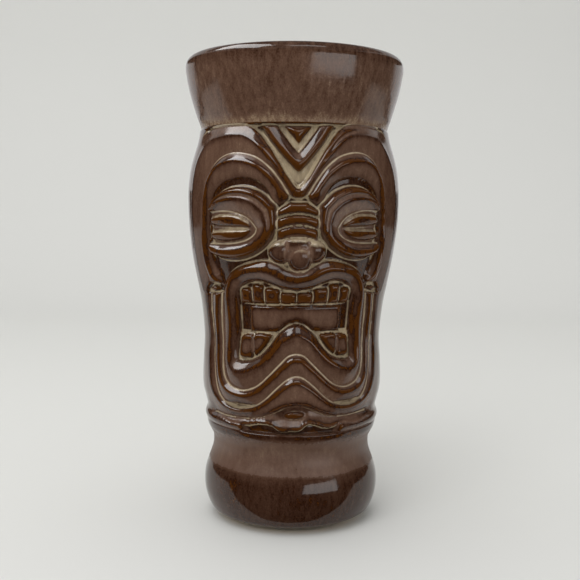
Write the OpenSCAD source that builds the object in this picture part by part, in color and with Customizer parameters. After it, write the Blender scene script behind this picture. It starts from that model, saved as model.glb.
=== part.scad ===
// Tiki mug: a slip-cast, glazed cup with a carved mask on its front.
// The axis is +Z, the foot stands on z = 0 and the mask faces -Y. All sizes are in millimetres.

/* [Heights] */
// Height of the waisted pedestal, from the table to the neck
pedestal_h = 36; // [30:0.5:44]
// Height of the recessed neck between the pedestal and the mask
neck_h = 4; // [3:0.5:6]
// Height of the carved mask
mask_h = 100; // [84:0.5:120]
// Height of the plain flared rim band
rim_h = 25; // [20:0.5:30]
// Height of the pedestal's widest level
bulge_z = 14; // [11:0.5:16]
// Height of the pedestal's narrowest level
waist_z = 27.5; // [22:0.5:28]

/* [Diameters] */
// Diameter across the flared rim
rim_d = 78.2; // [70:0.5:92]
// Diameter of the groove under the rim band
throat_d = 67; // [58:0.5:70]
// Diameter across the mask at the brows
brow_d = 76; // [70:0.5:92]
// Diameter across the mask at the mouth
mouth_d = 64; // [58:0.1:77]
// Diameter across the mask at the jaw
jaw_d = 65.4; // [58:0.1:78]
// Diameter across the top of the pedestal
collar_d = 62.6; // [54:0.2:66]
// Diameter across the pedestal's waist
waist_d = 57.2; // [50:0.2:64]
// Diameter across the pedestal's bulge
bulge_d = 63.8; // [56:0.2:76]
// Diameter of the ring that meets the table
foot_d = 43.4; // [38:0.2:50]

/* [Walls] */
// Thickness of the clay behind the carving
wall_t = 4; // [3:0.1:4.8]
// Thickness of the clay floor above the foot ring
floor_t = 6; // [4:0.5:8]
// Thickness of the glaze lining inside
glaze_t = 0.6; // [0.3:0.1:1]
// Height of the bare foot ring
foot_h = 2; // [1.2:0.1:3]
// Width of the bare foot ring on the table
foot_w = 5.4; // [4:0.1:8]
// Width of the rounded drinking lip
lip_w = 3.6; // [3:0.1:5]

/* [Carving] */
// Depth of the carving
carve = 3.2; // [2.6:0.05:3.85]
// Width of the groove between neighbouring bands
groove = 0.7; // [0.4:0.1:1]
// How far the face sits to one side of the front, as a hand-carved master does
face_shift = 1.5; // [0:0.1:2]
// How far the tip of the nose stands proud of the mask
nose_proud = 1.5; // [0:0.1:1.6]
// How far the lips stand proud of the mask
lip_proud = 0.7; // [0:0.1:1.2]
// Number of scallops round the frill on the neck
scallops = 12; // [8:1:14]
// Width of each scallop
scallop_w = 11; // [6:0.5:12]

/* [Hidden] */
$fn = 96;

clay = "#b08a62";
glaze = "#5b463c";
ridge = "#6b4420";
inner_glaze = "#4a352c";
right = 1;
left = -1;

neck_z = pedestal_h;
mask_z = neck_z + neck_h;
rim_z = mask_z + mask_h;
mug_h = rim_z + rim_h;
jaw_z = mask_z + 0.11 * mask_h;
mouth_z = mask_z + 0.25 * mask_h;
brow_z = mask_z + 0.75 * mask_h;
floor_z = foot_h + floor_t;
lip_z = mug_h - 3;

rim_r = rim_d / 2;
throat_r = throat_d / 2;
brow_r = brow_d / 2;
mouth_r = mouth_d / 2;
jaw_r = jaw_d / 2;
collar_r = collar_d / 2;
waist_r = waist_d / 2;
bulge_r = bulge_d / 2;
foot_r = foot_d / 2;
neck_r = jaw_r - carve - 0.4;
jaw_tuck = 2;        // how far the mask draws in below the jaw
crown_tuck = 4.2;    // how far it draws in above the brows
foot_flare = 5.5;    // how far the foot ring widens on its way up
cavity_foot_r = 17;  // flat part of the floor inside

face_r = 35;    // radius on which widths across the face are given
face_half = 36; // width at which the face's sideways shift dies out
front_y = 8;    // the carving stays at least this far in front of the mug's axis
levels = 40;    // facets up the height of the mask
level_h = mask_h / levels;

// ---- Curves ----

function ease(a, b, t) = a + (b - a) * (1 - cos(180 * t)) / 2;
function reversed(p) = [for (i = [len(p) - 1:-1:0]) p[i]];
function mirrored(p) = [for (i = [len(p) - 1:-1:1]) [-p[i][0], p[i][1]]];

// A rounded curve through the points of an open line, with n steps between points
function curve(p, n = 3) = concat(
  [for (i = [0:len(p) - 2], k = [0:n - 1]) between(p, i, k / n)],
  [p[len(p) - 1]]);
function between(p, i, t) =
  let (a = p[max(i - 1, 0)], b = p[i], c = p[i + 1], d = p[min(i + 2, len(p) - 1)])
  b + (c - a) * t / 2 + (2 * a - 5 * b + 4 * c - d) * t * t / 2
    + (3 * b - a - 3 * c + d) * t * t * t / 2;

// The same line moved d sideways, to the left of its direction
function moved(p, d) = [for (i = [0:len(p) - 1])
  let (a = p[max(i - 1, 0)], b = p[min(i + 1, len(p) - 1)], t = (b - a) / norm(b - a))
  p[i] + d * [-t[1], t[0]]];

// A whole line across the face from its right half
function across(p) = curve(concat(mirrored(p), p));

// The strip between two lines, less half a groove on each
function strip(upper, lower) = concat(
  moved(upper, -groove / 2), reversed(moved(lower, groove / 2)));

function oval(u, v, half_w, half_h) = [for (a = [0:15:345]) [u + half_w * cos(a), v + half_h * sin(a)]];

// ---- Radii of the cup against height ----

function skin_r(z) =
  z < jaw_z ? jaw_r - jaw_tuck * pow((jaw_z - z) / (jaw_z - mask_z), 2)
  : z < mouth_z ? ease(jaw_r, mouth_r, (z - jaw_z) / (mouth_z - jaw_z))
  : z < brow_z ? ease(mouth_r, brow_r, (z - mouth_z) / (brow_z - mouth_z))
  : brow_r - crown_tuck * pow((z - brow_z) / (rim_z - brow_z), 2.2);

function cavity_r(z) =
  z < waist_z ? ease(bulge_r, waist_r, (z - bulge_z) / (waist_z - bulge_z)) - wall_t
  : z < jaw_z ? ease(waist_r, jaw_r - carve, (z - waist_z) / (jaw_z - waist_z)) - wall_t
  : z < brow_z ? skin_r(z) - carve - wall_t
  : z < rim_z ? ease(brow_r - carve, throat_r, (z - brow_z) / (rim_z - brow_z)) - wall_t
  : ease(throat_r - wall_t, rim_r - lip_w, (z - rim_z) / (lip_z - rim_z));

// Profile [r, z] of the inside, from the floor up, grown by the given thickness
function cavity(grow) = concat(
  [[0, floor_z + glaze_t - grow]],
  [for (a = [0:15:75]) [
    cavity_foot_r + grow + (bulge_r - wall_t - cavity_foot_r) * sin(a),
    bulge_z - (bulge_z - floor_z - glaze_t + grow) * cos(a)]],
  [for (k = [0:5]) let (z = bulge_z + (mask_z - bulge_z) * k / 6) [cavity_r(z) + grow, z]],
  [for (k = [0:2:levels - 2]) let (z = mask_z + k * level_h) [cavity_r(z) + grow, z]],
  [for (k = [0:8]) let (z = rim_z + (lip_z - rim_z) * k / 8) [cavity_r(z) + grow, z]]);

function pedestal_side() = concat(
  [for (a = [0:10:90]) let (foot = foot_r + foot_flare)
    [foot + (bulge_r - foot) * sin(a), bulge_z - (bulge_z - foot_h) * cos(a)]],
  [for (k = [1:6]) [ease(bulge_r, waist_r, k / 6), bulge_z + (waist_z - bulge_z) * k / 6]],
  [for (k = [1:6]) [ease(waist_r, collar_r, k / 6), waist_z + (neck_z - waist_z) * k / 6]]);

function rim_side() = concat(
  [for (k = [0:6]) [throat_r + (rim_r - throat_r) * sin(15 * k), rim_z + (lip_z - rim_z) * k / 6]],
  [for (a = [15:15:180])
    [rim_r - lip_w / 2 + lip_w / 2 * cos(a), lip_z + (mug_h - lip_z) * sin(a)]]);

// ---- Points of the face ----
// u is the distance round the face from its centreline, on the radius face_r,
// and v is the height up the mask in hundredths of mask_h.

function face_z(v) = mask_z + v * mask_h / 100;
function spot(p, side) =
  let (u = side * p[0], s = u + face_shift * (1 - pow(u / face_half, 2)), z = face_z(p[1]))
  [skin_r(z) * sin(s / face_r * 180 / PI), z];

window_u = 37.8; // half the width of the carved face
jaw_u = window_u - 0.2;
crown_edge = [[0, 78.5], [3, 82], [6, 87], [9, 91.5], [13, 95.8], [17, 98], [22, 99], [30, 99.2], [jaw_u, 99]];
brow_edge = [[0, 75], [2.8, 76.2], [5.5, 80.5], [9, 85], [14, 88.7], [20.5, 90.3], [26, 89.7],
  [30, 87.3], [32.8, 83.5], [34.3, 78], [35, 70], [35.8, 60], [36.3, 52], [35.4, 46.8]];
eyebrow_edge = [[6.2, 73], [8.4, 74.8], [9.6, 77.3], [12.3, 80.2], [16, 81.8], [21, 81.8], [26, 80.4],
  [29.8, 77.3], [31.8, 73], [32.8, 68], [33.1, 62], [33, 57], [31.4, 53.5], [29, 50.5], [29, 47]];
socket_top = [[6.6, 65.5], [6.6, 72], [8.5, 74.6], [11.6, 77.4], [15.7, 79.1], [20, 79.4],
  [25, 78.3], [29.4, 75.4], [31.3, 71.6]];
socket_foot = [[6.9, 65], [8.2, 61.5], [11, 58.6], [15, 56.2], [20, 54.8], [26, 54.8], [31, 56.2],
  [32.2, 58], [31.6, 60]];
eye_top = [[13.6, 65.5], [15.5, 68], [18, 69.7], [22, 70.9], [26, 71.2], [31, 70.9]];
eye_foot = [[13.6, 65], [14.2, 63.6], [16.5, 61.9], [20.5, 60.7], [25.5, 60.3], [31, 60.3]];
roll_top = [[14.6, 65.7], [16.5, 68.2], [20, 70], [25, 70.3], [29.5, 69.7], [31.3, 68.2], [30.5, 66.6],
  [26, 66], [19, 65.8]];
roll_foot = [[15, 65.2], [19, 65.3], [26, 65.1], [30, 64.7], [31.5, 63.2], [30.5, 61.6], [26, 61],
  [21, 61.3], [17, 62.7]];
lip_top = [[0, 51.3], [3.5, 52], [7, 54], [11, 55], [16, 54.2], [21, 52.6], [25, 50], [28.6, 44.6]];
mouth_top = [[0, 44.7], [5, 45.4], [10, 47.2], [14, 48], [18, 47.2], [20.8, 45.5], [21.8, 44.2]];
mouth_foot = [[0, 33.5], [3, 32.7], [7, 30], [10.5, 26], [14, 23], [18, 21.3], [21.5, 20.7], [23.2, 21.2]];
mouth_side = [[22, 43.4], [22.3, 38], [22.3, 32], [23.2, 26], [23.4, 22]];
lip_foot = [[0, 23.3], [3, 22.6], [6, 20], [10, 16.3], [14, 13], [18, 11.3], [22, 11], [26.5, 12.3],
  [29.5, 15.5], [30.8, 20.8]];
lip_outer = [[30.8, 20.8], [31.4, 28], [31.3, 36], [30.4, 40.5], [29.4, 43.6]];
chin_foot = [[0, 15.8], [3, 15], [7, 12], [11, 8.5], [15, 6], [20, 4.7], [25, 4.6], [30, 6],
  [33.4, 9.5], [35.6, 15], [36.7, 22], [37.1, 30], [37.1, 37], [36.4, 43]];
jaw_foot = [[0, 5.3], [4, 5], [9, 3], [14, 1.3], [20, 0.6], [30, 0.4], [jaw_u, 0.4]];

// Height of each carved piece above (or, when negative, below) the mask's surface
crown_top = 0;
eyebrow_top = -0.2;
lid_top = -0.6;
roll_height = -0.8;
bridge_top = -0.3;
tooth_top = -1.2;
tongue_top = -2;
stud_top = -0.8;
chin_top = 0.3;

// Rings of the mask's levels that span the given heights
function rings(z0, z1) = [max(floor((z0 - mask_z) / level_h), 0):min(ceil((z1 - mask_z) / level_h), levels)];
function ring_z(k) = mask_z + k * level_h;

// A raised piece of the face: an outline cut through the layer between two depths of the mask
module carved(outline, top, side = right, bottom = -carve) {
  points = [for (p = outline) spot(p, side)];
  z0 = min([for (p = points) p[1]]);
  z1 = max([for (p = points) p[1]]);
  steps = [for (k = rings(z0, z1)) ring_z(k)];
  intersection() {
    translate([0, -front_y, 0])
      rotate([90, 0, 0])
        linear_extrude(height = brow_r)
          polygon(points);
    rotate_extrude()
      polygon(concat(
        [for (z = steps) [skin_r(z) + bottom, z]],
        [for (z = reversed(steps)) [skin_r(z) + top, z]]));
  }
}

module cavity_space() {
  rotate_extrude()
    polygon(concat(cavity(glaze_t), [[rim_r - lip_w + glaze_t, mug_h + 1], [0, mug_h + 1]]));
}

// ---- Cup ----

// The bare clay ring that the mug stands on, round a shallow recess
module foot_ring() {
  color(clay)
    rotate_extrude()
      polygon([[foot_r - foot_w, 0], [foot_r, 0], [foot_r + foot_flare, foot_h],
        [foot_r - foot_w, foot_h]]);
}

module pedestal() {
  color(glaze)
    difference() {
      rotate_extrude()
        polygon(concat([[0, foot_h]], pedestal_side(), [[0, neck_z]]));
      cavity_space();
    }
}

module neck() {
  color(glaze)
    difference() {
      rotate_extrude()
        polygon([[0, neck_z], [neck_r, neck_z], [neck_r, mask_z], [0, mask_z]]);
      cavity_space();
    }
}

// A frill under the mask, cut into scallops along its lower edge
module neck_frill() {
  frill_r = skin_r(mask_z);
  frill_h = 0.8 * neck_h;
  scallop_h = 0.75 * frill_h;
  color(glaze)
    difference() {
      rotate_extrude()
        polygon([[neck_r, mask_z - frill_h], [frill_r - 0.4, mask_z - frill_h], [frill_r, mask_z],
          [neck_r, mask_z]]);
      for (k = [0:scallops - 1])
        rotate([90, 0, 360 * (k + 0.5) / scallops])
          translate([0, mask_z - frill_h, 0])
            linear_extrude(height = frill_r + 5)
              polygon(concat([for (a = [10:20:170]) [scallop_w / 2 * cos(a), scallop_h * sin(a)]],
                [[-scallop_w / 2, -1], [scallop_w / 2, -1]]));
    }
}

// The clay wall behind the face, cut back to the bottom of the carving at the front
module mask_wall() {
  window = concat(
    [for (v = [-2:6:94]) [window_u, v]],
    [[window_u, 99.6], [-window_u, 99.6]],
    [for (v = [94:-6:-2]) [-window_u, v]]);
  color(glaze)
    difference() {
      rotate_extrude()
        polygon(concat(
          [[0, mask_z]],
          [for (k = [0:levels]) [skin_r(ring_z(k)), ring_z(k)]],
          [[0, rim_z]]));
      cavity_space();
      carved(window, 3);
    }
}

module rim_band() {
  color(glaze)
    rotate_extrude()
      polygon(concat(
        rim_side(),
        [for (k = [8:-1:0]) let (z = rim_z + (lip_z - rim_z) * k / 8) [cavity_r(z) + glaze_t, z]]));
}

module lining() {
  color(inner_glaze)
    rotate_extrude()
      polygon(concat(cavity(glaze_t), reversed(cavity(0))));
}

// ---- Forehead and brows ----

module forehead_triangle() {
  color(ridge)
    carved([[-5.6, 98], [5.6, 98], [0, 92.8]], -0.8);
}

module forehead_chevron() {
  outer = [[0, 84.4], [0.9, 84.9], [4.5, 89], [9, 94], [13.2, 98.4]];
  inner = [[7.4, 98.4], [0, 90.2]];
  color(ridge)
    carved(concat(outer, inner, [[-7.4, 98.4]], mirrored(outer)), -0.4);
}

module crown_band(side) {
  half_gap = [groove / 2, 0];
  color(glaze)
    carved(concat(
      [half_gap + brow_edge[0] + [0, groove / 2], half_gap + crown_edge[0]],
      [for (p = moved(curve(crown_edge), -groove / 2)) if (p[0] > groove) p],
      [for (v = [92:-6:50]) [jaw_u, v]],
      [[jaw_u, 46.8]],
      reversed([for (p = moved(curve(brow_edge), groove / 2)) if (p[0] > groove) p])),
      crown_top, side);
}

module eyebrow(side) {
  outer = [for (i = [1:len(brow_edge) - 1]) brow_edge[i]];
  tip = [[5, 73.4], [3.9, 74.3]];
  color(glaze)
    carved(concat(strip(curve(outer), curve(eyebrow_edge)), tip), eyebrow_top, side);
}

module crown_band_left() crown_band(left);
module crown_band_right() crown_band(right);
module eyebrow_left() eyebrow(left);
module eyebrow_right() eyebrow(right);

// ---- Eyes ----

module upper_lid(side) {
  color(glaze)
    carved(strip(curve(socket_top), curve(eye_top)), lid_top, side);
}

module lower_lid(side) {
  color(glaze)
    carved(strip(curve(eye_foot), curve(socket_foot)), lid_top, side);
}

module eye_roll(outline, side) {
  color(ridge)
    carved(curve(concat(outline, [outline[0]])), roll_height, side);
}

module upper_lid_left() upper_lid(left);
module upper_lid_right() upper_lid(right);
module lower_lid_left() lower_lid(left);
module lower_lid_right() lower_lid(right);
module eye_roll_upper_left() eye_roll(roll_top, left);
module eye_roll_upper_right() eye_roll(roll_top, right);
module eye_roll_lower_left() eye_roll(roll_foot, left);
module eye_roll_lower_right() eye_roll(roll_foot, right);

// ---- Nose ----

// One arched ring across the bridge of the nose
module nose_ring(v, half_w) {
  ring_v = 2.9;
  arch = 0.9;
  color(ridge)
    carved(concat(
      [for (k = [-1:0.25:1]) [half_w * k, v - arch * k * k]],
      [for (k = [1:-0.25:-1]) [half_w * k, v + ring_v - arch * k * k]]), bridge_top + 0.3);
}

module nose_bridge() {
  color(ridge)
    carved([[-5.8, 70], [0, 70.6], [5.8, 70], [5.6, 71.6], [2.4, 73.8], [-2.4, 73.8], [-5.6, 71.6]], bridge_top);
}

module nose_ring_upper() nose_ring(66.6, 6);
module nose_ring_lower() nose_ring(62.9, 6.1);

module nose_tip() {
  color(ridge)
    carved(oval(0, 57.1, 3.9, 4.4), nose_proud);
}

module nostril(side) {
  color(ridge)
    carved(oval(6.9, 58, 2.7, 2.7), nose_proud - 0.8, side);
}

module nostril_left() nostril(left);
module nostril_right() nostril(right);

// ---- Mouth ----

module upper_lip() {
  color(glaze)
    carved(strip(across(lip_top), across(mouth_top)), lip_proud);
}

module lip_side(side) {
  color(glaze)
    carved(concat(
      moved(curve(mouth_side), groove / 2),
      moved(curve(lip_outer), groove / 2)), lip_proud, side);
}

module lower_lip() {
  color(glaze)
    carved(strip(across(mouth_foot), across(lip_foot)), lip_proud);
}

module lip_side_left() lip_side(left);
module lip_side_right() lip_side(right);

// Eight upper teeth, largest half-way out
module upper_teeth() {
  foot_v = 40.8;
  corner = 0.8;
  teeth = [[0.25, 5.8, 43.7], [6.3, 11.5, 44.8], [12, 16.3, 46], [16.8, 20.8, 44.6]];
  color(ridge)
    for (side = [left, right], t = teeth)
      carved([[t[0], foot_v], [t[1], foot_v], [t[1], t[2] - corner], [t[1] - corner, t[2]],
        [t[0] + corner, t[2]], [t[0], t[2] - corner]], tooth_top, side);
}

// Four lower teeth in two pairs
module lower_teeth() {
  inner = [[10, 29.6], [16.2, 29.8], [16.2, 23.2], [13.6, 24.5], [11.5, 26.6]];
  outer = [[16.9, 29.9], [21.2, 29.4], [22.2, 27.6], [22.4, 22.6], [19.5, 22.2], [16.9, 22.9]];
  color(ridge)
    for (side = [left, right], outline = [inner, outer])
      carved(outline, tooth_top, side);
}

module tongue() {
  rise = [[0, 34.4], [3, 33.6], [6, 31.5], [8, 31]];
  color(glaze)
    carved(concat(mirrored(rise), rise, [[17.6, 31], [17.6, 39.6], [-17.6, 39.6], [-17.6, 31]]), tongue_top);
}

// ---- Chin, jaw and ears ----

module chin_band() {
  inner = concat(lip_foot, [for (i = [1:len(lip_outer) - 2]) lip_outer[i]], [[29.8, 42.6]]);
  color(glaze)
    carved(strip(across(inner), across(chin_foot)), chin_top);
}

module jaw_band() {
  upper = [for (p = chin_foot) if (p[1] < 23) p];
  side_v = [16:-6:4];
  color(glaze)
    carved(concat(
      moved(across(upper), -groove / 2),
      [for (v = side_v) [jaw_u, v]],
      reversed(moved(across(jaw_foot), groove / 2)),
      reversed([for (v = side_v) [-jaw_u, v]])), crown_top);
}

// A crescent fold in the hollow under the chin
module chin_crease() {
  bow = 7;
  color(glaze)
    carved(concat(
      [for (u = [-4:2:4]) [u, 1.3 + u * u / bow / 4]],
      [for (u = [4:-2:-4]) [u, 3 + u * u / bow / 6]]), -1.4);
}

module ear_stud(side) {
  color(ridge)
    carved(oval(33.6, 44.9, 2.4, 1), stud_top, side);
}

module ear_stud_left() ear_stud(left);
module ear_stud_right() ear_stud(right);

foot_ring();
pedestal();
neck();
neck_frill();
mask_wall();
rim_band();
lining();
forehead_triangle();
forehead_chevron();
crown_band_left();
crown_band_right();
eyebrow_left();
eyebrow_right();
upper_lid_left();
upper_lid_right();
lower_lid_left();
lower_lid_right();
eye_roll_upper_left();
eye_roll_upper_right();
eye_roll_lower_left();
eye_roll_lower_right();
nose_bridge();
nose_ring_upper();
nose_ring_lower();
nose_tip();
nostril_left();
nostril_right();
upper_lip();
lip_side_left();
lip_side_right();
lower_lip();
upper_teeth();
lower_teeth();
tongue();
chin_band();
jaw_band();
chin_crease();
ear_stud_left();
ear_stud_right();
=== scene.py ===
"""Tiki mug: the glazed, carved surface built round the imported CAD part.

The outside of the neck and mask is one field of radii over height and angle. The relief of the
face is laid on it from outlines close to the CAD's, softened, and then cut into one closed piece
for each CAD node. Pedestal, foot, rim and lining are rings that join on to the field. All design
sizes are millimetres; the frame gives the scale.
"""
import math

import bpy
import numpy as np
from mathutils import Matrix, Vector


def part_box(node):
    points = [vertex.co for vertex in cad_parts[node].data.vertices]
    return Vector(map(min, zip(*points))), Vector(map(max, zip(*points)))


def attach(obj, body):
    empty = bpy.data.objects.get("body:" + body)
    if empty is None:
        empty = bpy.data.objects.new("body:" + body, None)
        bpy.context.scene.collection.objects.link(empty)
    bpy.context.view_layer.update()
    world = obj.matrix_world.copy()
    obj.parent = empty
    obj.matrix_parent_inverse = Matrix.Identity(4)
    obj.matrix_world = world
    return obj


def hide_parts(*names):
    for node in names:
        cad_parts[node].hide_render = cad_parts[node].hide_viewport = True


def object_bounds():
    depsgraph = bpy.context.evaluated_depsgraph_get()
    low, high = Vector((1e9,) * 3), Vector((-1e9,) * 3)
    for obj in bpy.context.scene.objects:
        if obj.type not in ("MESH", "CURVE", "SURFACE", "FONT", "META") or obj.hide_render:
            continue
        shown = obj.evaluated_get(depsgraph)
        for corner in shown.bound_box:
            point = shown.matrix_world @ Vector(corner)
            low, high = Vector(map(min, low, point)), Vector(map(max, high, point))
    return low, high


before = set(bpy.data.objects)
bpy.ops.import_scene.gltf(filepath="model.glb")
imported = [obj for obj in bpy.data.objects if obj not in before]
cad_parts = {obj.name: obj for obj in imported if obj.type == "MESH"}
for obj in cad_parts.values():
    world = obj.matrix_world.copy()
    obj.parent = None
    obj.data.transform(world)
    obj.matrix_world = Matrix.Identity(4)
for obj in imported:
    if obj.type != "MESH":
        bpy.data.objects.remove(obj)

cad_low, cad_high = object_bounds()

DESIGN_HEIGHT = 165.0
MM = (cad_high.z - cad_low.z) / DESIGN_HEIGHT
FOOT_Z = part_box("foot_ring")[1].z / MM
NECK_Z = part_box("pedestal")[1].z / MM
MASK_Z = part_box("mask_wall")[0].z / MM
RIM_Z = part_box("rim_band")[0].z / MM

# ---- Sampling ----

FACE_R = 35.0        # radius on which widths across the face are given
STEP = 0.3           # spacing of the grid across the face, and close to its spacing upward
FRONT_HALF = 46.2    # half the width that is sampled finely
BACK_STEP = 2.0
SOFTEN = 0.26        # how far the edges of the relief are rounded
HIDDEN_DEPTH = 3.9   # how far the hidden backs of the raised pieces lie under the skin
LINING = 0.6         # thickness of the lining of the cup

# ---- Face ----

FACE_SHIFT = 1.5     # the face sits a little to one side, as a hand-carved master does
FACE_HALF = 36.0
TILT = 0.8           # the right half of the face sits this much higher, the left lower
WINDOW_HALF = 37.6   # half the width of the carved window
BAND_HALF = 37.4     # half the width over which the outer bands are pieces of their own
EYE_MIDDLE = 65.2    # height at which the upper lid meets the lower one
UPPER_LIP_V = 40.5   # foot of the upper lip
LOWER_LIP_V = 22.0   # top of the lower lip
MOUTH_HALF = 22.3    # the lip's sides lie further out than this
JAW_SIDE_TOP = (46, 43)


def smoothstep(low, high, x):
    """A smooth step from 0 at low to 1 at high."""
    t = np.clip((x - low) / (high - low), 0.0, 1.0)
    return t * t * (3.0 - 2.0 * t)


def rounded(points, n=6):
    """A rounded line through the points, as in the CAD."""
    p = np.asarray(points, float)
    p = np.vstack([p[:1], p, p[-1:]])
    t = (np.arange(n) / n)[:, None]
    parts = []
    for a, b, c, d in zip(p[:-3], p[1:-2], p[2:-1], p[3:]):
        parts.append(b + (c - a) * t / 2 + (2 * a - 5 * b + 4 * c - d) * t**2 / 2
                     + (3 * b - a - 3 * c + d) * t**3 / 2)
    return np.vstack(parts + [p[-1:]])


def across(points):
    """The right half of a line with its mirror image before it."""
    p = np.asarray(points, float)
    mirror = p[::-1] * [-1, 1]
    return np.vstack([mirror[:-1], p]) if p[0][0] == 0 else np.vstack([mirror, p])


def profile(stations):
    """A smooth radius against height, from (height, radius) stations."""
    z, r = np.asarray(stations, float).T
    step = np.diff(z)
    rise = np.diff(r) / step
    slope = np.empty_like(r)
    slope[0], slope[-1] = rise[0], rise[-1]
    same = rise[:-1] * rise[1:] > 0
    mean = (rise[:-1] * step[1:] + rise[1:] * step[:-1]) / (step[1:] + step[:-1])
    slope[1:-1] = np.where(same, mean, 0.35 * mean)

    def radius(at):
        at = np.asarray(at, float)
        k = np.clip(np.searchsorted(z, at) - 1, 0, len(z) - 2)
        t = np.clip((at - z[k]) / step[k], 0, 1)
        return ((2 * t**3 - 3 * t**2 + 1) * r[k] + (t**3 - 2 * t**2 + t) * step[k] * slope[k]
                + (3 * t**2 - 2 * t**3) * r[k + 1] + (t**3 - t**2) * step[k] * slope[k + 1])
    return radius


skin = profile([(36, 31.1), (37.9, 31.7), (40.8, 31.0), (43.8, 31.6), (47, 32.4), (52, 32.7), (58, 32.5),
                (66, 32.05), (73, 32.5), (80, 33.4), (87, 34.85), (94, 36.2), (101, 37.15), (108, 37.8),
                (115, 38.0), (121, 37.8), (127, 37.0), (131, 36.0), (135, 34.85), (140, 33.75)])
pedestal_side = profile([(2, 27.0), (3.1, 28.9), (5, 30.2), (6.9, 30.95), (8.9, 31.5), (12.7, 31.9),
                         (16.5, 31.6), (18.5, 31.1), (20.4, 30.45), (22.3, 29.75), (24.2, 29.1),
                         (26, 28.7), (28, 28.6), (29.8, 28.75), (32, 29.8), (33.6, 30.65), (35.4, 31.1)])
rim_side = profile([(140, 33.5), (141, 33.7), (144, 34.85), (148, 36.2), (152, 37.4), (158, 38.65),
                    (161.5, 39.1), (162.6, 39.0), (163.6, 38.6)])
cavity_side = profile([(14, 27.5), (20, 25.6), (26, 23.8), (38, 24.4), (51, 25.1), (65, 24.6), (90, 27.8),
                       (115, 30.8), (128, 30.1), (140, 29.5), (151, 32.5), (162, 35.5)])

# ---- Outlines of the face, right half: u round the face, v up the mask ----

CROWN_SIDE = [(0, 78.5), (3, 82), (6, 87), (9, 91.5), (13, 96.2), (16.6, 98.8), (20, 99.8), (30, 100),
              (36, 99.2), (42, 96), (46, 90), (48, 80), (48.5, 68), (47.5, 56), (46, 46), (45, 36)]
BROW_EDGE = [(0, 75), (2.8, 76.2), (5.5, 80.5), (9, 85), (14, 88.7), (20.5, 90.3), (26, 89.7), (30, 87.3),
             (32.8, 83.5), (34.3, 78), (35, 70), (35.8, 60), (36.3, 52), (35.4, 46.8)]
EYEBROW_EDGE = [(6.2, 73), (8.4, 74.8), (9.6, 77.3), (12.3, 80.2), (16, 81.8), (21, 81.8), (26, 80.4),
                (29.8, 77.3), (31.8, 73), (32.8, 68), (33.1, 62), (33, 57), (31.4, 53.5), (29, 50.5),
                (29, 47)]
EYEBROW_TIP = [(5, 73.4), (3.9, 74.3)]
SOCKET_TOP = [(6.6, 65.5), (6.6, 72), (8.5, 74.6), (11.6, 77.4), (15.7, 79.1), (20, 79.4), (25, 78.3),
              (29.4, 75.4), (31.3, 71.6)]
SOCKET_FOOT = [(6.9, 65), (8.2, 61.5), (11, 58.6), (15, 56.2), (20, 54.8), (26, 54.8), (31, 56.2),
               (32.2, 58), (31.6, 60)]
EYE_TOP = [(13.6, 65.5), (15.5, 68), (18, 69.7), (22, 70.9), (26, 71.2), (31, 70.9)]
EYE_FOOT = [(13.6, 65), (14.2, 63.6), (16.5, 61.9), (20.5, 60.7), (25.5, 60.3), (31, 60.3)]
ROLL_TOP = [(14.6, 65.7), (16.5, 68.2), (20, 70), (25, 70.3), (29.5, 69.7), (31.3, 68.2), (30.5, 66.6),
            (26, 66), (19, 65.8)]
ROLL_FOOT = [(15, 65.2), (19, 65.3), (26, 65.1), (30, 64.7), (31.5, 63.2), (30.5, 61.6), (26, 61),
             (21, 61.3), (17, 62.7)]
LIP_TOP = [(0, 51.3), (3.5, 52), (7, 54), (11, 55), (16, 54.2), (21, 52.6), (25, 50), (28.6, 44.6)]
LIP_SIDE = [(29.4, 43.6), (30.4, 40.5), (31.3, 36), (31.4, 28), (30.8, 20.8)]
LIP_FOOT = [(0, 23.3), (3, 22.6), (6, 20), (10, 16.3), (14, 13), (18, 11.3), (22, 11), (26.5, 12.3),
            (29.5, 15.5), (30.8, 20.8)]
MOUTH_TOP = [(0, 44.7), (5, 45.4), (10, 47.2), (14, 48), (18, 47.2), (20.8, 45.5), (21.8, 44.2)]
MOUTH_SIDE = [(22, 43.4), (22.3, 38), (22.3, 32), (23.2, 26), (23.4, 22)]
MOUTH_FOOT = [(0, 33.5), (3, 32.7), (7, 30), (10.5, 26), (14, 23), (18, 21.3), (21.5, 20.7), (23.2, 21.2)]
CHIN_FOOT = [(0, 15.8), (3, 15), (7, 12), (11, 8.5), (15, 6), (20, 4.7), (25, 4.6), (30, 6), (33.4, 9.5),
             (35.6, 15), (37.2, 22), (38, 30), (38, 37), (36.4, 43)]
JAW_FOOT = [(0, 5.3), (4, 5), (9, 3), (14, 1.3), (20, 0.6), (30, 0.4), (37.6, 0.4), (46, 0.6)]
TRIANGLE = [(-5.6, 99), (5.6, 99), (0, 92.6)]
CHEVRON_OUTER = [(0, 83.5), (1.1, 84.1), (5, 88.4), (9.6, 93.5), (14, 99.2)]
CHEVRON_INNER = [(0, 90), (7.6, 99.2)]
UPPER_TEETH = [(0.1, 5.9, 44.2), (6.2, 11.7, 45.6), (12, 16.3, 46.9), (16.6, 21, 45.6)]
LOWER_TEETH = [[(9.3, 29.7), (16.3, 29.9), (16.3, 22.9), (13.4, 24.2), (11, 26.9)],
               [(16.8, 29.9), (21.3, 29.4), (22.4, 27.6), (22.6, 22.4), (19.5, 21.9), (16.8, 22.5)]]
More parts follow.
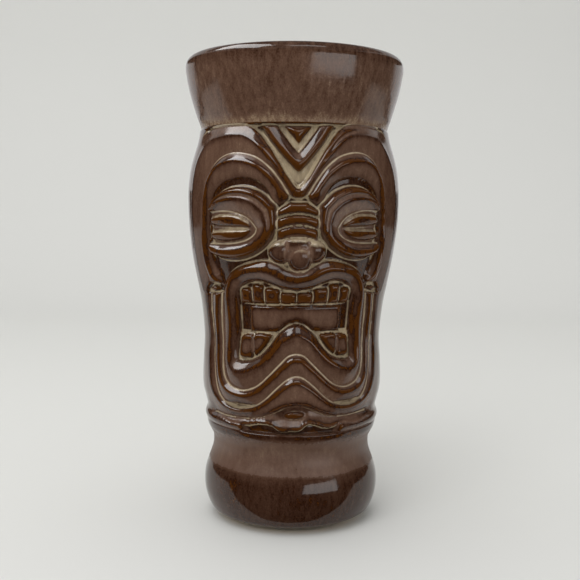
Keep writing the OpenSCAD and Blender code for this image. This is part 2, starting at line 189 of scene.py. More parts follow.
FRILL_EDGE = [(-46, -0.5), (-36, -0.4), (-30, -1.1), (-26, -1.8), (-20, -2), (-17, -1.7), (-14, -1.1),
              (-10, -1), (-7.5, -1.4), (-6, -2.4), (-4.6, -3.2), (-3, -3.3), (0, -3), (2.5, -3),
              (4, -2.5), (5.2, -1.4), (7, -0.8), (9.5, -0.9), (11.5, -1.6), (13, -2.1), (15.5, -2.4),
              (17.5, -2), (19.5, -1), (22, -0.8), (26, -1.5), (29, -1.5), (33, -1), (36, -0.4),
              (46, -0.5)]
NOSE_BRIDGE = [(-6.9, 69.2), (-3.5, 70.1), (0, 70.4), (3.5, 70.1), (6.9, 69.2), (6.3, 71.4), (2.6, 73.9),
               (-2.6, 73.9), (-6.3, 71.4)]
NOSE_RINGS = [("nose_ring_upper", 66.5, 3.4, 6.8), ("nose_ring_lower", 62.8, 3.5, 6.6)]
TONGUE_LEFT = [(-18.2, 39.6), (-18.2, 30.8), (-8, 30.8)]
TONGUE_RIGHT = [(8, 30.8), (18.2, 30.8), (18.2, 39.6)]
TONGUE_RISE = [(0, 34.6), (3, 33.8), (6, 31.5)]

# ---- The grid ----

neck_rows = np.linspace(NECK_Z, MASK_Z, 15)[:-1]
face_rows = np.linspace(MASK_Z, RIM_Z, 335)
rows = np.concatenate([neck_rows, face_rows])
mask_row = len(neck_rows)
front = np.linspace(-FRONT_HALF, FRONT_HALF, int(round(2 * FRONT_HALF / STEP)) + 1)
round_length = 2 * math.pi * FACE_R
back_count = int((round_length - 2 * FRONT_HALF) / BACK_STEP)
back = np.linspace(FRONT_HALF, round_length - FRONT_HALF, back_count + 1)[1:-1]
columns = np.concatenate([front, back])
angle = columns / FACE_R
around = np.where(columns > round_length / 2, columns - round_length, columns)
S, Z = np.meshgrid(around, rows)
V_TRUE = Z - MASK_Z

shift_share = FACE_SHIFT / FACE_HALF**2
inner_u = (1 - np.sqrt(np.maximum(1 - 4 * shift_share * (S - FACE_SHIFT), 0))) / (2 * shift_share)
SIGNED_U = np.where(np.abs(S) < FACE_HALF, inner_u, S)
U = np.abs(SIGNED_U)
tilt_share = 0.35 + 0.65 * smoothstep(0, 1, (75 - Z) / 25)
lean = np.clip(SIGNED_U / 22, -1.4, 1.4) * (1 - smoothstep(38, 44, U)) * smoothstep(-4, 4, V_TRUE)
V = V_TRUE - TILT * lean * tilt_share


def distance(line, reach=14.0, u=U, v=V):
    """Distance of every grid point from a line, and where along it the nearest point is."""
    line = np.asarray(line, float)
    (u0, v0), (u1, v1) = line.min(0) - reach, line.max(0) + reach
    near = (u > u0) & (u < u1) & (v > v0) & (v < v1)
    pu, pv = u[near], v[near]
    best = np.full(pu.shape, reach**2)
    place = np.zeros(pu.shape)
    count = len(line) - 1
    for k in range(count):
        a, d = line[k], line[k + 1] - line[k]
        length = max(d @ d, 1e-12)
        t = np.clip(((pu - a[0]) * d[0] + (pv - a[1]) * d[1]) / length, 0, 1)
        gap = (pu - a[0] - t * d[0])**2 + (pv - a[1] - t * d[1])**2
        closer = gap < best
        best[closer] = gap[closer]
        place[closer] = (k + t[closer]) / count
    whole = np.full(u.shape, reach)
    whole[near] = np.sqrt(best)
    along = np.zeros(u.shape)
    along[near] = place
    return whole, along


def inside(outline, u=U, v=V):
    """Which grid points lie inside a closed outline."""
    p = np.asarray(outline, float)
    (u0, v0), (u1, v1) = p.min(0), p.max(0)
    near = (u >= u0) & (u <= u1) & (v >= v0) & (v <= v1)
    pu, pv = u[near], v[near]
    odd = np.zeros(pu.shape, bool)
    for a, b in zip(p, np.roll(p, -1, 0)):
        if a[1] == b[1]:
            continue
        crosses = (a[1] > pv) != (b[1] > pv)
        odd ^= crosses & (pu < (b[0] - a[0]) * (pv - a[1]) / (b[1] - a[1]) + a[0])
    whole = np.zeros(u.shape, bool)
    whole[near] = odd
    return whole


def section(t, knots):
    """The height at t of a cross-section given as (t, height) knots."""
    x, h = zip(*knots)
    return np.interp(t, x, h)


def share(one, other):
    """How far each grid point is from one line to the other, 0 to 1."""
    a, b = distance(one)[0], distance(other)[0]
    return a / np.maximum(a + b, 1e-6)


# ---- The relief ----

GROUND = -2.7        # floor of the carved window
EYE_FLOOR = -2.0
MOUTH_FLOOR = -2.9
NOWHERE = -9.0       # lower than any relief
relief = np.zeros(U.shape)
NAMES = ["mask_wall"]
WALL = 0             # the label of the wall between the raised pieces
label = np.full(U.shape, WALL)


def label_of(name):
    """The number that marks a CAD node in the grid of labels."""
    if name not in NAMES:
        NAMES.append(name)
    return NAMES.index(name)


def lay(region, height, node=None, sided=False):
    """Sets the relief in a region and says which CAD node the region belongs to."""
    relief[region] = np.broadcast_to(height, U.shape)[region]
    if node is None:
        return
    if sided:
        label[region & (SIGNED_U >= 0)] = label_of(node + "_right")
        label[region & (SIGNED_U < 0)] = label_of(node + "_left")
    else:
        label[region] = label_of(node)


def line_of(*parts):
    """One line made of several."""
    return np.vstack([np.asarray(p, float) for p in parts])


crown_side = rounded(across(CROWN_SIDE))
brow_edge = rounded(across(BROW_EDGE))
eyebrow_edge = rounded(EYEBROW_EDGE)
socket_top = rounded(SOCKET_TOP)
socket_foot = rounded(SOCKET_FOOT)
eye_top = rounded(EYE_TOP)
eye_foot = rounded(EYE_FOOT)
lip_half = line_of(rounded(LIP_TOP), rounded(LIP_SIDE), rounded(LIP_FOOT)[::-1])
lip_ring = line_of(lip_half, lip_half[::-1] * [-1, 1])
mouth_half = line_of(rounded(MOUTH_TOP), rounded(MOUTH_SIDE), rounded(MOUTH_FOOT)[::-1])
mouth_ring = line_of(mouth_half, mouth_half[::-1] * [-1, 1])
lip_under = line_of(rounded(across(LIP_FOOT)), rounded(LIP_SIDE)[::-1])
chin_foot = rounded(across(CHIN_FOOT))
jaw_foot = rounded(across(JAW_FOOT))

lay((U < WINDOW_HALF) & (V < 99.6) & (V > -6), GROUND)

# Crown band: a facet up to the rim, a crest, and a broad flat that falls to the eyebrow
t = share(crown_side, brow_edge)
crown = section(t, [(0, -1.3), (0.05, -0.9), (0.34, 0.15), (0.40, 0.3), (0.46, 0.15), (0.92, -1.45),
                    (1, -1.9)])
side = smoothstep(33, 42, U)
crown = np.where(t < 0.4, crown * (1 - side), crown * (1 - 0.25 * side))
crown_region = inside(line_of(rounded(CROWN_SIDE), rounded(BROW_EDGE)[::-1]))
lay(crown_region, crown)
lay(crown_region & (U < BAND_HALF), crown, "crown_band", True)

# Eyebrow: a crest close to the crown band and a flat that falls to the eye
t = share(brow_edge, line_of(EYEBROW_TIP[::-1], eyebrow_edge))
eyebrow = section(t, [(0, -1.7), (0.04, -1.2), (0.26, 0.0), (0.33, 0.12), (0.42, -0.1), (0.9, -1.8),
                      (1, -2.2)])
eyebrow_outline = line_of(rounded(BROW_EDGE[1:]), eyebrow_edge[::-1], EYEBROW_TIP)
lay(inside(eyebrow_outline), eyebrow, "eyebrow", True)

# Eye sockets: a double ridge above, a full roll below, and the almond inside them
socket_ring = line_of(socket_foot[::-1], socket_top)
eye_ring = line_of(eye_foot[::-1], eye_top)
t = share(socket_ring, eye_ring)
lid_up = section(t, [(0, -2.5), (0.05, -1.1), (0.16, 0.3), (0.24, 0.3), (0.34, -0.45), (0.45, 0.25),
                     (0.53, 0.1), (0.94, -1.8), (1, -2.3)])
lid_down = section(t, [(0, -2.9), (0.08, -1.8), (0.26, 0.1), (0.38, 0.5), (0.6, 0.15), (0.85, -1.1),
                       (1, -2.2)])
top_share = smoothstep(62.5, 66.5, V)
lid = lid_up * top_share + lid_down * (1 - top_share)
socket = inside(socket_ring)
eye = inside(eye_ring)
lay(socket & (V >= EYE_MIDDLE), lid, "upper_lid", True)
lay(socket & (V < EYE_MIDDLE), lid, "lower_lid", True)
lay(eye, EYE_FLOOR)
label[eye] = WALL


def mound(gap, low, high, width):
    """A rounded mound that rises from its outline over the given width."""
    t = np.clip(gap / width, 0, 1)
    return low + (high - low) * np.sqrt(1 - (1 - t)**2)


for outline, node in ((ROLL_TOP, "eye_roll_upper"), (ROLL_FOOT, "eye_roll_lower")):
    ring = rounded(outline + outline[:1])
    lay(inside(ring), mound(distance(ring)[0], -2.2, -0.5, 1.9), node, True)

# Nose
bridge_ring = line_of(NOSE_BRIDGE, NOSE_BRIDGE[:1])
bridge = mound(distance(bridge_ring, u=SIGNED_U)[0], -1.9, -0.2, 1.8)
lay(inside(NOSE_BRIDGE, SIGNED_U), bridge, "nose_bridge")
for node, foot_v, thick, half_w in NOSE_RINGS:
    arch = foot_v - 1.6 * (U / half_w)**2
    rise = np.clip((V - arch) / thick, 0, 1)
    region = (U < half_w) & (V > arch) & (V < arch + thick)
    ends = mound(half_w - U, 0, 1, 1.8)
    lay(region, -1.9 + 1.95 * np.sqrt(np.maximum(1 - (1.7 * rise - 0.9)**2, 0)) * ends, node)


def dome(u0, v0, half_u, half_v, low, high, u=U):
    """A rounded lump, and the grid points that it covers."""
    gap = 1 - ((u - u0) / half_u)**2 - ((V - v0) / half_v)**2
    return low + (high - low) * np.sqrt(np.maximum(gap, 0)), gap > 0


tip, tip_region = dome(0.9, 55.6, 4.2, 4.7, -2.2, 1.5, SIGNED_U)
top, top_region = dome(0, 59.6, 7.4, 3.1, -2.2, 0.5)
wing, wing_region = dome(5.5, 57.8, 4.2, 4.0, -2.2, 1.15)
nose = np.maximum(np.where(tip_region, tip, NOWHERE), np.where(top_region, top, NOWHERE))
nose = np.maximum(nose, np.where(wing_region, wing, NOWHERE))
lay(tip_region | top_region, nose, "nose_tip")
lay(wing_region & ~(tip_region & (tip > wing)), nose, "nostril", True)

# Lips: one ring round the mouth whose crest wanders from its outer to its inner edge
mouth = inside(mouth_ring)
t = share(lip_ring, mouth_ring)
crest = 0.40 + 0.24 * (1 - smoothstep(34, 50, V))
t = np.where(t < crest, 0.5 * t / crest, 0.5 + 0.5 * (t - crest) / (1 - crest))
lip = section(t, [(0, -1.7), (0.06, -1.1), (0.38, 0.45), (0.5, 0.7), (0.6, 0.45), (0.93, -1.3), (1, -2.6)])
lips = inside(lip_ring) & ~mouth & ~(tip_region & (V > 51))
lay(lips, lip)
label[lips & (V >= UPPER_LIP_V)] = label_of("upper_lip")
label[lips & (V < LOWER_LIP_V)] = label_of("lower_lip")
label[lips & (U < MOUTH_HALF) & (V < 40)] = label_of("lower_lip")
lip_sides = lips & (U >= MOUTH_HALF) & (V >= LOWER_LIP_V) & (V < UPPER_LIP_V)
lay(lip_sides, lip, "lip_side", True)

# Inside the mouth
lay(mouth, MOUTH_FLOOR)
label[mouth] = WALL
for u0, u1, top_v in UPPER_TEETH:
    tooth = rounded([(u0, 41), (u0, top_v - 1.4), (u0 + 0.8, top_v - 0.2), (u1 - 0.8, top_v),
                     (u1, top_v - 1.2), (u1, 41), (u1 - 0.5, 40.5), (u0 + 0.5, 40.5), (u0, 41)], 4)
    lay(inside(tooth), mound(distance(tooth)[0], -2.3, -1.0, 1.7), "upper_teeth")
for tooth in LOWER_TEETH:
    ring = rounded(tooth + tooth[:1], 3)
    lay(inside(ring), mound(distance(ring)[0], -2.4, -1.1, 1.0), "lower_teeth")
tongue_ring = line_of(TONGUE_LEFT, across(TONGUE_RISE), TONGUE_RIGHT, TONGUE_LEFT[:1])
gap = distance(tongue_ring, u=SIGNED_U)[0]
tongue = section(gap, [(0, -2.7), (0.35, -2.15), (1.0, -1.95), (4, -1.85)])
lay(inside(tongue_ring, SIGNED_U), tongue, "tongue")

# Chin and jaw bands: each has its crest near its upper edge
t = share(lip_under, chin_foot)
chin = section(t, [(0, -1.4), (0.06, -0.9), (0.19, 0.15), (0.27, 0.3), (0.36, 0.15), (0.88, -1.0),
                   (1, -1.6)])
half_lip = line_of(rounded(LIP_FOOT), rounded(LIP_SIDE)[::-1])
half_chin = rounded(CHIN_FOOT)
lay(inside(line_of(half_lip, half_chin[::-1])), chin, "chin_band")
t = share(chin_foot, jaw_foot)
jaw = section(t, [(0, -1.5), (0.05, -0.9), (0.15, 0.0), (0.22, 0.15), (0.32, 0.0), (0.84, -0.5),
                  (0.94, -1.2), (1, -2.0)])
jaw = jaw * (1 - smoothstep(36, 43, U))
jaw_region = inside(line_of(half_chin, [JAW_SIDE_TOP], rounded(JAW_FOOT)[::-1]))
lay(jaw_region, jaw)
lay(jaw_region & (U < BAND_HALF), jaw, "jaw_band")

# Forehead
t = share(rounded(across(CHEVRON_OUTER), 1), rounded(across(CHEVRON_INNER), 1))
chevron = section(t, [(0, -2.4), (0.08, -1.5), (0.30, -0.35), (0.42, -0.2), (0.55, -0.5), (0.9, -1.5),
                      (1, -2.3)])
lay(inside(line_of(CHEVRON_OUTER, CHEVRON_INNER[::-1])), chevron, "forehead_chevron")
gap = distance(line_of(TRIANGLE, TRIANGLE[:1]), u=SIGNED_U)[0]
triangle = section(gap, [(0, -2.1), (1.9, -0.6), (3, -0.5)])
lay(inside(TRIANGLE, SIGNED_U), triangle, "forehead_triangle")

# Ears
ear, ear_region = dome(33.8, 44.6, 2.3, 1.1, -2.2, -0.7)
lay(ear_region, ear, "ear_stud", True)

# Neck: a frill that hangs over dark pockets in front and turns into a plain roll behind
frill_v = np.interp(S, *np.asarray(FRILL_EDGE, float).T)
NECK_HALF = 44.0     # the frill and the roll fade out by here
FRILL_MIDDLE = -0.4
POCKET_HALF = 19.0   # half the width over which the neck shows under the frill
below_jaw = (V_TRUE < 8) & (U < NECK_HALF) & ~jaw_region & (V < 6)
rise = np.clip((V_TRUE - frill_v) / 4.5, 0, 1)
under = section(rise, [(0, -0.75), (0.12, -0.4), (0.5, -1.1), (1, -2.2)])
lay(below_jaw & (V_TRUE >= frill_v), under)
pocket = 1 - smoothstep(POCKET_HALF - 1.5, POCKET_HALF + 2, np.abs(S - FRILL_MIDDLE))
roll = 0.1 - 0.9 * ((V_TRUE + 2.4) / 2.4)**2
hollow = -2.7 + 0.5 * smoothstep(-2.5, -4, V_TRUE)
below_frill = (V_TRUE < frill_v) & (U < NECK_HALF)
lay(below_frill, np.where(V_TRUE < 0, roll * (1 - pocket) + hollow * pocket, relief))
behind = (U >= 36) & (V_TRUE < 3)
fade = smoothstep(36, NECK_HALF, U)
relief[behind] = (relief * (1 - fade))[behind]
crease, crease_region = dome(-0.3, 2.2, 4.2, 1.3, -1.9, -0.7, SIGNED_U)
lay(crease_region, np.maximum(crease, relief), "chin_crease")


def stroke(points, height, width, left=True):
    """Adds a soft ridge, or with a negative height a groove, along a line and its mirror image."""
    gap, along = distance(rounded(points), 4 * width + 0.5)
    ends = 0.12
    fade_ends = smoothstep(0, ends, along) * (1 - smoothstep(1 - ends, 1, along))
    mark = height * np.exp(-(gap / width)**2) * fade_ends
    if not left:
        mark = mark * (SIGNED_U >= 0)
    relief[:] += mark


# Narrow ridge and groove between the chevron and the crown band, on the right only
stroke([(3, 81), (6, 85.8), (9.5, 90.8), (13.5, 95), (18, 97.4), (24, 98.2)], 0.45, 0.5, left=False)
stroke([(3.6, 80.3), (6.6, 85), (10, 89.8), (14, 94), (18, 96.3), (22, 97.2)], -0.4, 0.4, left=False)
# Creases between the lobes of the nose
stroke([(3.3, 61.5), (3.9, 58), (4.2, 55), (3.6, 52.5)], -0.5, 0.5)
# Hollow of the cheek that curls in below the eye
stroke([(34.2, 66), (34.4, 58), (33.8, 53), (32, 48.6), (29.5, 46.4), (27.5, 46.6)], 0.7, 0.7)
stroke([(32.6, 58), (31.6, 52.5), (30.2, 49.5)], -0.6, 1.1)


def kernel(width, step):
    """Weights of a soft blur of the given width."""
    reach = max(int(math.ceil(3 * width / step)), 1)
    x = np.arange(-reach, reach + 1) * step
    k = np.exp(-x**2 / (2 * width**2))
    return k / k.sum()


def soften(field, width):
    """Rounds a field of the finely sampled front; the plain back needs none."""
    made = field.copy()
    block = field[:, :len(front)]
    k = kernel(width, STEP)
    reach = len(k) // 2
    padded = np.pad(block, ((reach, reach), (reach, reach)), mode="edge")
    across_rows = sum(w * padded[i:i + block.shape[0], :] for i, w in enumerate(k))
    block = sum(w * across_rows[:, i:i + block.shape[1]] for i, w in enumerate(k))
    made[:, :len(front)] = block
    return made


under_rim = smoothstep(RIM_Z, RIM_Z - 0.9, Z)
RIM_JOINT = -0.25    # how far the mask stands back where it meets the rim
relief = soften(relief, SOFTEN)
relief = relief * under_rim + RIM_JOINT * (1 - under_rim)

# Unevenness of a hand-finished mould
WOBBLE = 0.8         # how much of the waves below is used
wobble = (0.10 * np.sin(S / 9.1 + Z / 13.0) + 0.08 * np.sin(S / 5.3 - Z / 7.7 + 1.3)
          + 0.05 * np.sin(S / 2.9 + Z / 4.1 + 2.1))
ends_still = smoothstep(NECK_Z, NECK_Z + 3, Z) * smoothstep(RIM_Z, RIM_Z - 3, Z)
radius = skin(Z) + relief + wobble * ends_still * WOBBLE

# Glaze thins to amber on crests and on steep sides, and pools in narrow creases; painted shade darkens the
# deep pockets and the flanks of the face
fine = slice(0, len(front))
crest = np.clip((relief - soften(relief, 1.0)) / 0.26, -0.6, 1)
slope_u = np.gradient(relief[:, fine], STEP, axis=1)
slope_v = np.gradient(relief[:, fine], STEP, axis=0)
steep = np.zeros(U.shape)
steep[:, fine] = smoothstep(0.5, 1.3, np.hypot(slope_u, slope_v))
# Painted shade: the deepest relief is coloured as darker glaze
recess_shade = smoothstep(-1.8, -2.4, relief)
# Painted shade: the flanks of the face, where it turns away, are coloured darker
painted_flank_shade = smoothstep(33, 38, U) * smoothstep(56, 46, U)
thinness_and_shade = np.maximum(crest, 0.15 * crest) + 0.35 * steep + 0.85 * recess_shade + 0.32 * painted_flank_shade
thinness_and_shade = np.clip(thinness_and_shade, -1, 1)
# Painted highlight: the crowns of the nose's lobes are coloured as pale glaze
nose_thinness_and_highlight = 0.9 * thinness_and_shade - 0.4 * smoothstep(0.2, 1.0, relief)
thinness_and_shade = np.where(tip_region | wing_region, nose_thinness_and_highlight, thinness_and_shade)

pool_and_highlight = np.clip((soften(relief, 0.4) - relief) / 0.22 - 0.35, 0, 1)
for line in (brow_edge, socket_top, socket_foot, eye_top, eye_foot, lip_ring, lip_under, chin_foot,
             crown_side):
    gap = distance(line, 2.0)[0]
    pool_and_highlight = np.maximum(pool_and_highlight, 0.85 * np.exp(-(gap / 0.3)**2))
mouth_floor = mouth & (label == WALL) & (V < 31.2)
pool_and_highlight = np.maximum(pool_and_highlight, 0.62 * mouth_floor)
forehead = smoothstep(16, 10, U) * smoothstep(79, 81, V) * smoothstep(-1.7, -2.3, relief)
pool_and_highlight = np.maximum(pool_and_highlight, 0.66 * forehead)
# Painted highlight: faces of the nose and of the eye rolls that look upward are coloured pale, like pooled
# glaze
upper_face_highlight = np.zeros(U.shape)
upper_face_highlight[:, fine] = smoothstep(0.15, 0.75, -slope_v)
rolls = np.isin(label, [number for number, name in enumerate(NAMES) if name.startswith("eye_roll")])
pool_and_highlight = np.maximum(pool_and_highlight, 0.6 * upper_face_highlight * (tip_region | wing_region | top_region | rolls))
pool_and_highlight = pool_and_highlight * smoothstep(46, 36, U)

# ---- Cells of the field ----

# Labels of the neck, and borders where no two cells of one piece meet only at a corner
in_neck = Z < MASK_Z - 0.01
label[in_neck] = label_of("neck_frill")
under_frill = (V_TRUE < frill_v) & (np.abs(S - FRILL_MIDDLE) < POCKET_HALF)
label[in_neck & under_frill] = label_of("neck")
cell = label[:-1].copy()
MOST_PASSES = 12
for _ in range(MOST_PASSES):
    a, b = cell[:-1], np.roll(cell, -1, 1)[:-1]
    c, d = cell[1:], np.roll(cell, -1, 1)[1:]
    one = (a == d) & (a != b) & (a != c)
    two = (b == c) & (b != a) & (b != d) & ~one
    if not (one | two).any():
        break
    fixed = cell.copy()
    fixed[1:][one] = a[one]
    fixed[:-1][two] = b[two]
    cell = fixed
own_rows = len(rows) - 1
count_u = len(columns)


def ring_points(r, z):
    """Points of rings: r and z are given per row, or per row and column."""
    r = np.broadcast_to(r if np.ndim(r) == 2 else np.asarray(r, float)[:, None], (len(r), count_u))
    z = np.broadcast_to(z if np.ndim(z) == 2 else np.asarray(z, float)[:, None], (len(z), count_u))
    return np.stack([r * np.sin(angle), -r * np.cos(angle), z], -1) * MM


def normals_of(points):
    """Outward normals of a stack of rings that runs upward on the outside."""
    wrapped = np.concatenate([points[:, -1:], points, points[:, :1]], 1)
    along_u = wrapped[:, 2:] - wrapped[:, :-2]
    along_v = np.gradient(points, axis=0)
    n = np.cross(along_u, along_v)
    return n / np.maximum(np.linalg.norm(n, axis=-1, keepdims=True), 1e-12)


# The outside of the pedestal below the face's field, and of the rim above it
PEDESTAL_ROWS = 84
RIM_ROWS = 75
PEDESTAL_TOP = 35.4  # the pedestal's own profile ends here and turns in to the neck's
RIM_CURVE_TOP = 162.8
LIP = [(163.1, 38.85), (163.8, 38.45), (164.45, 37.85), (164.85, 37.2), (165, 36.55), (164.85, 36.0),
       (164.4, 35.7), (163.5, 35.55), (162, 35.5)]
pedestal_z = np.concatenate([np.linspace(FOOT_Z, 35.3, PEDESTAL_ROWS), [35.55, 35.75, 35.9]])
to_neck = np.concatenate([np.zeros(PEDESTAL_ROWS), [0.1, 0.4, 0.8]])[:, None]
sway = 0.12 * np.sin(2 * angle + 0.6) + 0.06 * np.sin(5 * angle + 2)
pedestal_r = pedestal_side(np.minimum(pedestal_z, PEDESTAL_TOP))[:, None]
pedestal_r = pedestal_r + sway * smoothstep(2, 8, pedestal_z)[:, None]
pedestal_r = pedestal_r * (1 - to_neck) + radius[0] * to_neck
lip_line = rounded(LIP, 4)
rim_rise = np.linspace(RIM_Z + 0.3, RIM_CURVE_TOP, RIM_ROWS)
rim_z = np.concatenate([rim_rise, lip_line[:, 0]])
rim_r = np.concatenate([rim_side(rim_rise), lip_line[:, 1]])
rim_sway = 0.16 * np.sin(2 * angle + 2.2) + 0.08 * np.sin(3 * angle)
rim_r = rim_r[:, None] + rim_sway * smoothstep(141, 150, rim_z)[:, None]

stack_z = np.concatenate([pedestal_z, rows, rim_z])
stack_r = np.concatenate([pedestal_r, radius, rim_r])
stack_points = ring_points(stack_r, stack_z)
stack_normals = normals_of(stack_points)
first = len(pedestal_z)
last = first + len(rows)
outer = stack_points[first:last]
outer_normals = stack_normals[first:last]

hidden = ring_points(np.broadcast_to((skin(rows) - HIDDEN_DEPTH)[:, None], outer.shape[:2]), rows)
inner = ring_points(cavity_side(rows) + LINING, rows)
radial = np.broadcast_to(np.stack([np.sin(angle), -np.cos(angle), 0 * angle], -1), outer.shape)


def make(node, points, faces, normals, thin_and_shade, pooled_and_highlight):
    """A closed piece that stands for a CAD node."""
    mesh = bpy.data.meshes.new(node)
    mesh.from_pydata(points.tolist(), [], faces)
    mesh.polygons.foreach_set("use_smooth", np.ones(len(mesh.polygons), bool))
    for name, values in (("glaze", thin_and_shade), ("pool_and_highlight", pooled_and_highlight)):
        data = mesh.attributes.new(name, "FLOAT", "POINT").data
        data.foreach_set("value", values.astype(np.float32))
    if normals is not None:
        mesh.normals_split_custom_set_from_vertices(normals.tolist())
    mesh.update()
    piece = bpy.data.objects.new(node + "_glazed" if node != "foot_ring" else "foot_ring_clay", mesh)
    bpy.context.scene.collection.objects.link(piece)
    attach(piece, "root")
    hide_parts(node)
    return piece


def cell_faces(cells, corner):
    """Quads over the given cells, facing outward; corner gives a vertex number for (row, column)."""
    i, j = cells
    return np.stack([corner(i, j), corner(i, j + 1), corner(i + 1, j + 1), corner(i + 1, j)], 1)


def border_faces(own, upper, lower):
    """Quads that drop from the upper surface to the lower one round the border of the own cells."""
    none = np.zeros((1, own.shape[1]), bool)
    right = own & ~np.roll(own, -1, 1)
    left = own & ~np.roll(own, 1, 1)
    below = np.vstack([none, own[:-1]])
    above = np.vstack([own[1:], none])
    parts = []
    i, j = np.nonzero(right)
    parts.append([upper(i + 1, j + 1), upper(i, j + 1), lower(i, j + 1), lower(i + 1, j + 1)])
    i, j = np.nonzero(left)
    parts.append([upper(i, j), upper(i + 1, j), lower(i + 1, j), lower(i, j)])
    i, j = np.nonzero(own & ~below)
    parts.append([upper(i, j + 1), upper(i, j), lower(i, j), lower(i, j + 1)])
    i, j = np.nonzero(own & ~above)
    parts.append([upper(i + 1, j), upper(i + 1, j + 1), lower(i + 1, j + 1), lower(i + 1, j)])
    return np.concatenate([np.stack(p, 1) for p in parts])


field_size = len(rows) * count_u


def layer(number):
    """Gives the vertex numbers of one layer: 0 is the surface, 1 the hidden backs, 2 the inside."""
    return lambda i, j: number * field_size + i * count_u + j % count_u


def compact(points, faces, *values):
    """Drops the points that no face uses."""
    used, renumbered = np.unique(faces, return_inverse=True)
    return [points[used], renumbered.reshape(faces.shape).tolist()] + [v[used] for v in values]


layer_points = np.concatenate([p.reshape(-1, 3) for p in (outer, hidden, inner)])
layer_normals = np.concatenate([n.reshape(-1, 3) for n in (outer_normals, radial, -radial)])
layer_thinness_and_shade = np.tile(thinness_and_shade.ravel(), 3)
layer_pool_and_highlight = np.tile(pool_and_highlight.ravel(), 3)
OUT, MID, IN = layer(0), layer(1), layer(2)


def made_of_layers(node, faces):
    """A piece whose faces use the points of the three layers."""
    return make(node, *compact(layer_points, faces, layer_normals, layer_thinness_and_shade, layer_pool_and_highlight))


def relief_piece(node):
    """A raised piece of the face: its patch of the surface, its sides and its hidden back."""
    own = cell == NAMES.index(node)
    cells = np.nonzero(own)
    front_faces = cell_faces(cells, OUT)
    back_faces = cell_faces(cells, MID)[:, ::-1]
    return made_of_layers(node, np.concatenate([front_faces, back_faces, border_faces(own, OUT, MID)]))


def wall_piece(node, bottom, top, number):
    """A wall of the cup between two rows, cut back where other pieces lie on it."""
    own = np.zeros(cell.shape, bool)
    own[bottom:top] = (cell == number)[bottom:top]
    here = np.zeros(cell.shape, bool)
    here[bottom:top] = True
    j = np.arange(count_u)
    low = np.full(count_u, bottom)
    high = np.full(count_u, top)
    foot_end = np.stack([MID(low, j + 1), MID(low, j), IN(low, j), IN(low, j + 1)], 1)
    top_end = np.stack([MID(high, j), MID(high, j + 1), IN(high, j + 1), IN(high, j)], 1)
    faces = np.concatenate([cell_faces(np.nonzero(own), OUT), cell_faces(np.nonzero(here & ~own), MID),
                            border_faces(own, OUT, MID), cell_faces(np.nonzero(here), IN)[:, ::-1],
                            foot_end, top_end])
    return made_of_layers(node, faces)


def revolved(node, points, normals, thin_and_shade, closed, poles=()):
    """A piece made of rings from its lowest outer ring on.

    A closed piece joins its last ring to its first. A pole closes a ring with a point on the
    axis: (which ring, height, 1 where it faces up or -1 where it faces down).
    """
    count = len(points)
    grid = np.arange(count * count_u).reshape(count, count_u)
    following = np.roll(grid, -1, 0) if closed else grid[1:]
    base = grid if closed else grid[:-1]
    quads = np.stack([base, np.roll(base, -1, 1), np.roll(following, -1, 1), following], -1)
    faces = quads.reshape(-1, 4).tolist()
    flat = points.reshape(-1, 3)
    extra = []
    for ring, height, way in poles:
        centre = len(flat) + len(extra)
        extra.append([0.0, 0.0, height * MM])
        for a, b in zip(grid[ring], np.roll(grid[ring], -1)):
            faces.append([int(a), int(centre), int(b)] if way > 0 else [int(b), int(centre), int(a)])
    if extra:
        flat = np.vstack([flat, extra])
    thin_and_shade = np.concatenate([np.repeat(thin_and_shade, count_u), np.zeros(len(extra))])
    if normals is not None:
        normals = np.vstack([normals.reshape(-1, 3)] + [[[0, 0, way]] for _, _, way in poles])
    return make(node, flat, faces, normals, thin_and_shade, 0 * thin_and_shade)


DISH_Z = 14.0        # the cup's floor turns into its wall here
DISH_DEPTH = 5.4
DISH_FLAT_R = 17.0
DISH_TURN_R = 10.5
CUP_TOP_Z = 162.0
CUP_ROWS = 110


def cavity_line(grow):
    """The inside of the cup from the middle of its floor up, as (radius, height) points."""
    depth = DISH_DEPTH + grow
    flat = [(r + grow, DISH_Z - depth) for r in (3, 10)]
    arc = [(DISH_FLAT_R + grow + DISH_TURN_R * math.sin(a), DISH_Z - depth * math.cos(a))
           for a in np.radians(np.arange(0, 86, 5))]
    wall = [(cavity_side(z) + grow, z) for z in np.linspace(DISH_Z, CUP_TOP_Z, CUP_ROWS)]
    return np.array(flat + arc + wall)


pieces = {}
for name in NAMES:
    if name not in ("mask_wall", "neck"):
        pieces[name] = relief_piece(name)
pieces["neck"] = wall_piece("neck", 0, mask_row, NAMES.index("neck"))
pieces["mask_wall"] = wall_piece("mask_wall", mask_row, own_rows, WALL)

# Foot ring
foot = np.array([(16.3, FOOT_Z), (16.3, 0.5), (16.6, 0.1), (17.1, 0), (21, 0), (21.8, 0.15), (23.6, 0.8),
                 (26.9, FOOT_Z)])
foot_points = ring_points(foot[:, 0], foot[:, 1])
pieces["foot_ring"] = revolved("foot_ring", foot_points, None, np.zeros(len(foot)), True)

